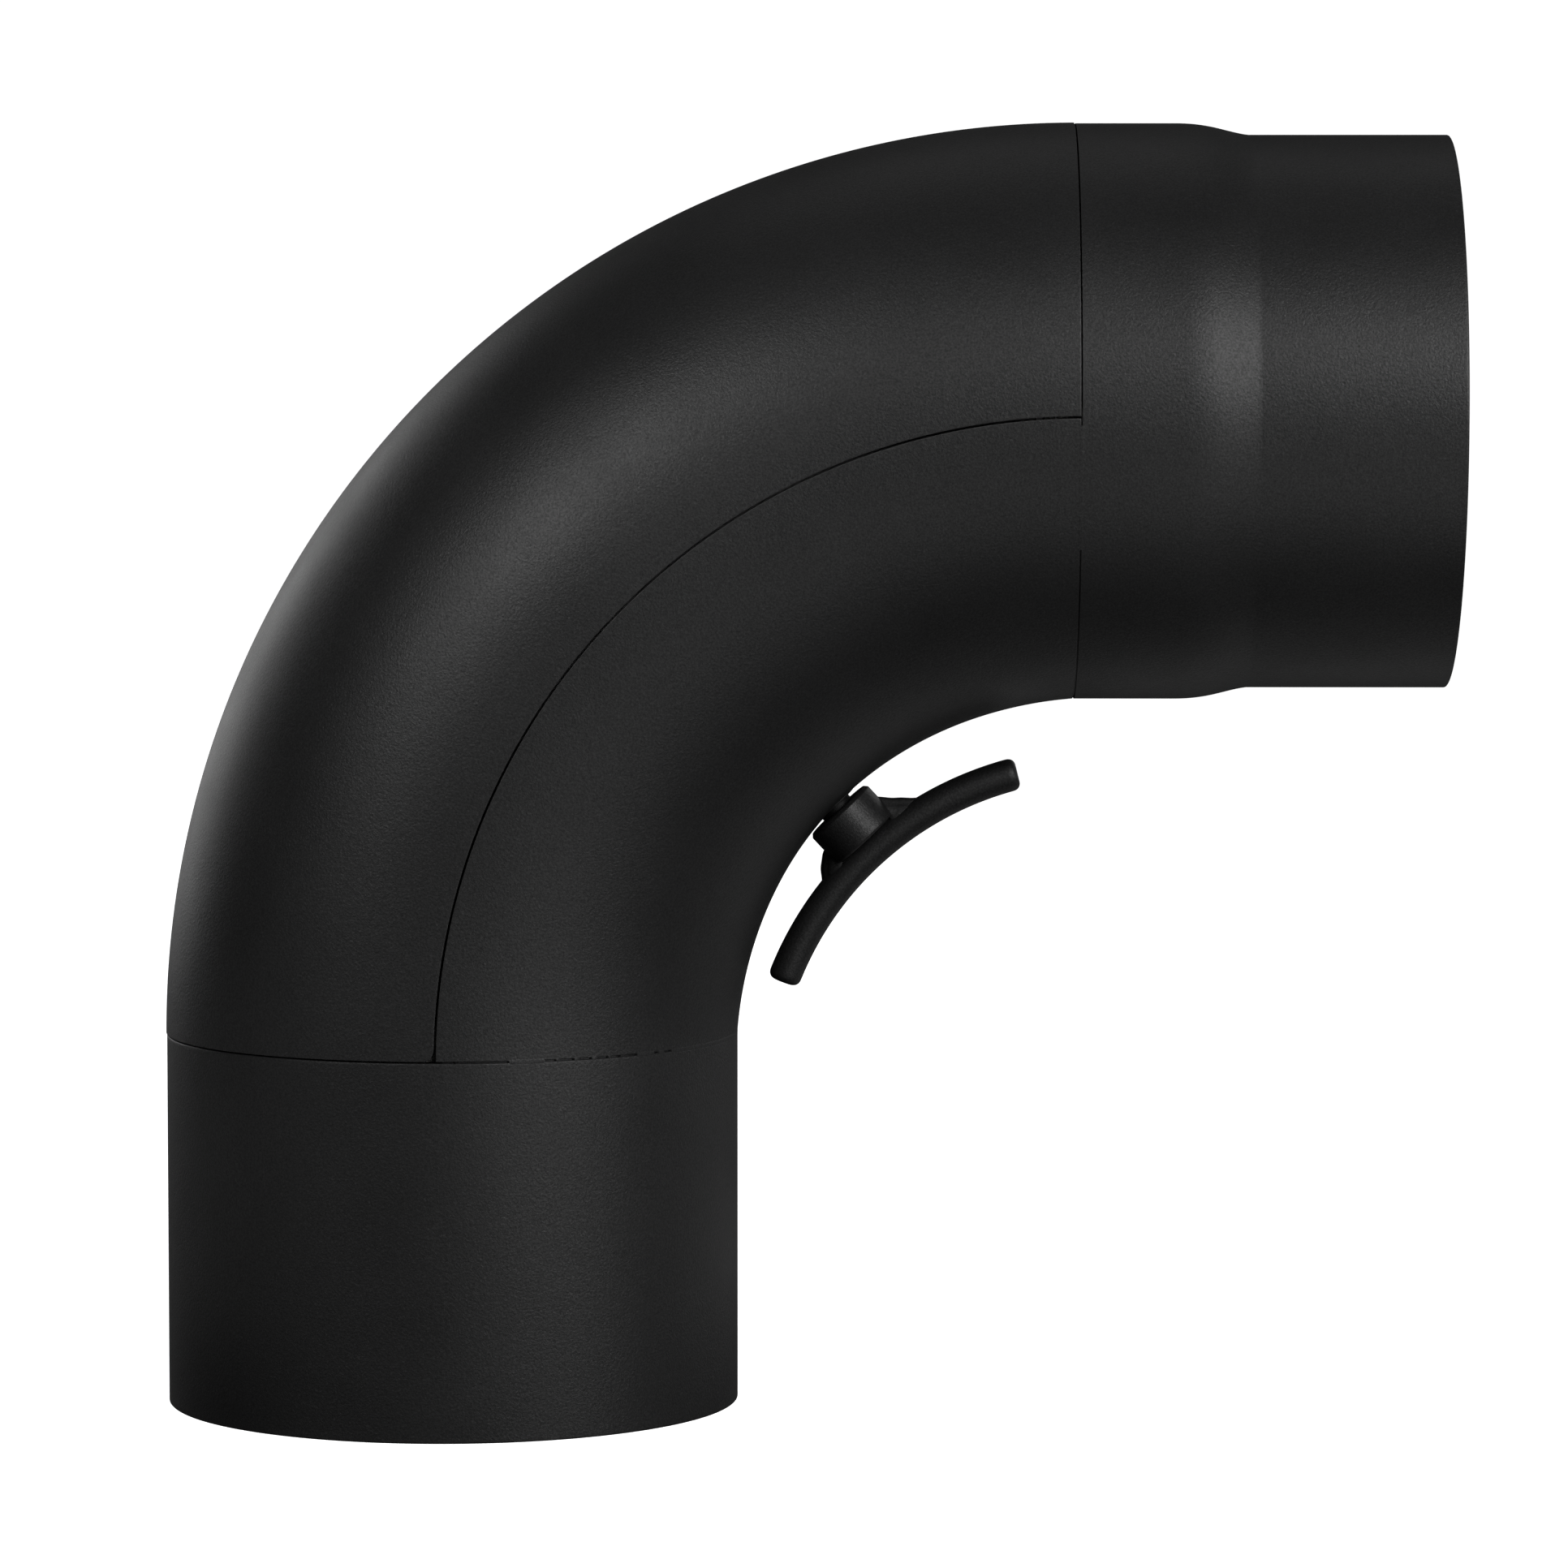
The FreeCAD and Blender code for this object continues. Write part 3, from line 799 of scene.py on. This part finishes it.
def make_bridge_weld(name, node, side, paint):
    """Rippled bead along the strap's end."""
    rings = []
    turn = np.arange(14) / 14 * 2 * math.pi
    for i, phi in enumerate(np.radians(np.linspace(42.3, 48.5, 60))):
        size = 1.25 + 0.14 * math.sin(i * 1.15) - 0.5 * (i in (0, 59))
        radius = 71.35 + size * np.cos(turn)
        theta = math.radians(44.0) + size * np.sin(turn) / 71.0
        rings.append(section(phi, radius, side * theta))
    points, faces = carried(np.array(rings))
    new_piece(name, node, [paint], points, faces)


def make_bush(steel):
    """Flanged guide bush, its lower face level with the throat's skin."""
    bore = ROD_R + THREAD_CLEAR
    level = BEND_R - PIPE_R - INNER_BULGE
    corners = [(bore, level), (BUSH_R, level), (BUSH_R, FLANGE_LOW), (BUSH_FLANGE_R, FLANGE_LOW),
               (BUSH_FLANGE_R, FLANGE_HIGH), (BUSH_R, FLANGE_HIGH), (BUSH_R, BUSH_HIGH),
               (bore, BUSH_HIGH)]
    points, faces = turned(rounded(corners, 0.3), latch_place, count=96)
    new_piece("bush", "rod_guide_bush", [steel], points, faces)


def make_ring(steel):
    """Loose ring between the hub and the bush."""
    bore = ROD_R + THREAD_CLEAR
    high = BUSH_LOW + 0.3
    outline = rounded([(bore, HUB_HIGH), (RING_R, HUB_HIGH), (RING_R, high), (bore, high)], 0.15)
    points, faces = turned(outline, latch_place, count=64)
    new_piece("spacer_ring", "shim_ring", [steel], points, faces)


def make_hub(paint):
    """Turned hub: deep chamfer towards the elbow, small one towards the bar, tapped hole."""
    bore = ROD_R + THREAD_CLEAR
    body = [(bore, HUB_LOW), (HUB_R - 0.55, HUB_LOW), (HUB_R, HUB_LOW + 0.55),
            (HUB_R, HUB_HIGH - 0.95), (HUB_R - 0.85, HUB_HIGH), (bore + 0.6, HUB_HIGH),
            (bore, HUB_HIGH - 0.6)]
    outline = fill_runs(rounded(body, 0.22), step=2.0, margin=0.2)
    points, faces = turned(outline, latch_place, count=144)
    new_piece("hub", "handle_hub", [paint], points, faces)


def bar_foot():
    """Tilt of the bar and the centre of its arc, as (tilt, distance along the latch, height)."""
    tilt = math.radians(BAR_TILT)
    foot_x = BAR_SHIFT - BAR_ARC_R * math.sin(tilt)
    foot_z = BAR_HEIGHT - BAR_ARC_R * math.cos(tilt)
    return tilt, foot_x, foot_z


def bar_frame(angle):
    """Point on the bar's centreline at an angle from its middle, and the outward direction there."""
    tilt, foot_x, foot_z = bar_foot()
    x, z = math.sin(tilt + angle), math.cos(tilt + angle)
    centre = latch_place(foot_x + BAR_ARC_R * x, 0, foot_z + BAR_ARC_R * z)
    return centre, LATCH_ALONG * x + LATCH_AXIS * z


def make_bar(paint):
    """Round bar bent to an arc, its sawn ends dressed round."""
    half = math.radians(BAR_HALF_ANGLE)
    length = 2 * half * BAR_ARC_R
    middle = np.linspace(3.2, length - 3.2, 90)
    stations = [*NOSE] + [(d, BAR_R) for d in middle]
    stations += [(length - d, r) for d, r in NOSE[::-1]]
    turn = np.arange(56) / 56 * 2 * math.pi
    rings = []
    for distance, radius in stations:
        centre, out = bar_frame(distance / BAR_ARC_R - half)
        ring = centre + radius * (np.cos(turn)[:, None] * out + np.sin(turn)[:, None] * ACROSS)
        rings.append(ring)
    points, faces = carried(np.array(rings))
    new_piece("bar", "handle_bar", [paint], points, faces, sharp=50)


def bar_top(distance, y):
    """Height of the bar's upper surface at a distance along the hub's face, y across it."""
    _, foot_x, foot_z = bar_foot()
    reach = BAR_ARC_R + math.sqrt(max(BAR_R ** 2 - y ** 2, 0.0))
    return foot_z + math.sqrt(reach ** 2 - (distance - foot_x) ** 2)


def make_handle_weld(name, node, side, shape, seed, paint):
    """Lumpy hand-laid fillet in the corner between hub and bar.
    shape is (height up the hub, reach along the bar, fullness)."""
    height, reach, fullness = shape
    rings = []
    for t in np.linspace(-1, 1, 45):
        y = 3.1 * t
        fade = (1 - abs(t) ** 2.4) ** 0.6 * (1 + 0.07 * math.sin(5 * t + seed) + 0.04 * math.sin(13 * t))
        fade = max(fade, 0.02)
        hub_x = math.sqrt(HUB_R ** 2 - y * y)
        up = height * fade
        out = reach * fade
        seat = bar_top(side * (hub_x + out), y)
        foot = bar_top(side * hub_x, y)
        ring = []
        for u in np.linspace(0, 1, 24):
            x = hub_x + out * u
            z = (foot + up) * (1 - u) + seat * u + fullness * fade * math.sin(math.pi * u)
            z += 0.12 * fade * math.sin(9 * u + 2 * t + seed) * math.sin(math.pi * u)
            ring.append(latch_place(side * x, y, z))
        ring.append(latch_place(side * (hub_x + out - 0.4), y * 0.9, seat - 1.0))
        ring.append(latch_place(side * (hub_x - 1.0), y * 0.9, foot - 1.5))
        ring.append(latch_place(side * (hub_x - 1.0), y * 0.9, foot + 0.9 * up))
        rings.append(ring)
    points, faces = carried(np.array(rings))
    new_piece(name, node, [paint], points, faces, sharp=75)


# --- studio ---

def make_stage():
    """Pale round floor that curves up into a backdrop on all sides, lit from within like a
    light table. The object doesn't mirror it, so that its edges stay dark."""
    profile = [(0.01, 0.0), (1.0, 0.0), (2.5, 0.0)]
    for a in np.radians(np.linspace(0, 90, 16)):
        profile.append((3.5 + 1.5 * math.sin(a), 1.5 - 1.5 * math.cos(a)))
    profile.append((5.0, 7.0))
    turn = np.arange(64) / 64 * 2 * math.pi
    points = [(r * math.cos(a), r * math.sin(a), z) for r, z in profile for a in turn]
    mesh = bpy.data.meshes.new("studio_floor")
    faces = grid_faces(len(profile), len(turn), wrap_cols=True)
    faces.append(tuple(range(len(turn))))
    mesh.from_pydata(points, [], faces)
    floor = add_object("studio_floor", mesh)
    shade_smooth(mesh)
    material, tree, shader = new_material("pale_floor")
    where = coordinates(tree)
    tree.links.new(ramp(tree, noise(tree, where, 3.0, detail=4.0), [(0.3, 0.86), (0.7, 0.89)]),
                   shader.inputs["Base Color"])
    shader.inputs["Roughness"].default_value = 0.9
    shader.inputs["Specular IOR Level"].default_value = 0.1
    shader.inputs["Emission Color"].default_value = (1.0, 1.0, 1.0, 1.0)
    shader.inputs["Emission Strength"].default_value = 1.0
    mesh.materials.append(material)
    floor.visible_glossy = False
    floor.visible_diffuse = False


def area_light(name, size, energy):
    """Rectangular light that the camera doesn't see."""
    data = bpy.data.lights.new(name, "AREA")
    data.shape = "RECTANGLE"
    data.size, data.size_y = size
    data.energy = energy
    light = add_object(name, data)
    light.visible_camera = False
    return light


def soft_light(name, azimuth, elevation, strength, size, distance=2.0):
    """Soft box aimed at the elbow; strength is the irradiance there, and all lengths are in metres.
    Azimuth 0 is on the camera's side and positive to its right."""
    middle = Vector((0.09, 0.0, 0.18))
    turn, lift = math.radians(azimuth), math.radians(elevation)
    away = Vector((math.sin(turn) * math.cos(lift), -math.cos(turn) * math.cos(lift), math.sin(lift)))
    light = area_light(name, size, strength * math.pi * distance ** 2)
    light.location = middle + away * distance
    light.rotation_euler = away.to_track_quat("Z", "Y").to_euler()


def bounce_card(name, place, size, power):
    """Light lying face up on the floor, for what a white card there would reflect."""
    light = area_light(name, size, power)
    light.location = place
    light.rotation_euler = (math.pi, 0.0, 0.0)


def make_lights():
    world = bpy.data.worlds.new("studio")
    world.use_nodes = True
    background = world.node_tree.nodes["Background"]
    background.inputs["Color"].default_value = (1.0, 1.0, 1.0, 1.0)
    background.inputs["Strength"].default_value = 0.02
    bpy.context.scene.world = world
    bpy.context.scene.view_settings.view_transform = "Standard"
    soft_light("key_right", 31, 25, 1.65, (0.7, 0.9))
    soft_light("key_left", -38, 30, 1.0, (0.55, 0.55))
    soft_light("low_right", 54, 4, 0.42, (0.9, 0.4))
    soft_light("side_right", 108, 12, 0.20, (0.5, 0.8))
    soft_light("back_right", 143, 14, 0.28, (1.0, 1.0))
    soft_light("back_left", -140, 12, 0.45, (1.0, 1.0))
    soft_light("back_top", 180, 62, 0.10, (1.4, 0.8))
    bounce_card("bounce_front", (0.35, -0.50, 0.004), (0.6, 0.4), 0.6)
    bounce_card("bounce_under", (0.30, 0.12, 0.004), (0.3, 0.3), 0.06)
    bounce_card("bounce_left", (-0.42, -0.20, 0.004), (0.4, 0.6), 0.25)


def make_elbow():
    paint = heat_paint("paint")
    # Darker copy of the paint for the hub and the bar: painted shade, as they sit in the throat's
    # shadow.
    handle_paint_darkened_as_shade = heat_paint("handle_paint_darkened_as_shade", base=0.0075, roughness=0.50, grain=0.9)
    # Darker, duller copy of the paint for the handle welds: the darker colour is painted shade in the
    # corner between hub and bar.
    weld_paint_darkened_as_shade = heat_paint("weld_paint_darkened_as_shade", base=0.0065, roughness=0.55, grain=1.0, specular=0.28)
    inside = inside_paint("overspray")
    zinc = plated_steel("zinc", 0.42, 0.30, (0.97, 0.99, 1.03))
    steel = plated_steel("turned_steel", 0.26, 0.34)
    # Near-black steel for the bush and the ring: its dark colour is painted shade for the gap under the
    # hub, which lies in shadow.
    shade_dark_steel = plated_steel("steel_darkened_as_shade", 0.03, 0.55)
    tape = glass_tape("tape")

    make_inlet_pipe(paint, inside)
    make_outlet_pipe(paint, inside)
    make_throat_shell(paint, inside)
    make_back_shell(paint, inside)

    # (from, to, share left open) round each seam, in section degrees from the back
    lower_runs = [(88, 104.3, 0.80), (111.7, 133, 0.68), (137, 143, 0.62), (205, 268, 0.5)]
    upper_runs = [(116.6, 200, 1.0), (200, 262, 0.45)]
    make_girth_weld("lower_weld", "inlet_girth_weld",
                    lambda x, y, h: inlet_place(x, y, LEG + h), lower_runs, 3, paint, inside)
    make_girth_weld("upper_weld", "outlet_girth_weld",
                    lambda x, y, h: outlet_place(-x, y, BEND_R - h), upper_runs, 5, paint, inside)

    for node in ("front_seat_rail", "rear_seat_rail", "inlet_seat_strip", "outlet_seat_strip",
                 "door_bridge"):
        eased_copy(node + "_sheet", node, [inside], 0.3)
    make_bush(shade_dark_steel)
    make_side_tape("front_tape", "front_gasket", 1, tape)
    make_side_tape("rear_tape", "rear_gasket", -1, tape)
    make_end_tape("inlet_tape", "inlet_gasket", False, tape)
    make_end_tape("outlet_tape", "outlet_gasket", True, tape)

    make_tie_rod(zinc)
    make_nut("inner_nut", "inner_lock_nut", BRIDGE_LOW - NUT_HEIGHT, zinc)
    make_nut("outer_nut", "outer_lock_nut", BRIDGE_LOW + BRIDGE_T + SPRING_WASHER_T, zinc)
    make_spring_washer(BRIDGE_LOW + BRIDGE_T, steel)
    make_bridge_weld("front_bead", "front_bridge_weld", 1, inside)
    make_bridge_weld("rear_bead", "rear_bridge_weld", -1, inside)

    make_ring(shade_dark_steel)
    make_hub(handle_paint_darkened_as_shade)
    make_bar(handle_paint_darkened_as_shade)
    make_handle_weld("left_weld", "handle_weld_left", -1, (4.3, 5.3, 0.7), 1, weld_paint_darkened_as_shade)
    make_handle_weld("right_weld", "handle_weld_right", 1, (5.4, 6.6, -0.2), 2, weld_paint_darkened_as_shade)


make_camera()
make_elbow()
make_stage()
make_lights()
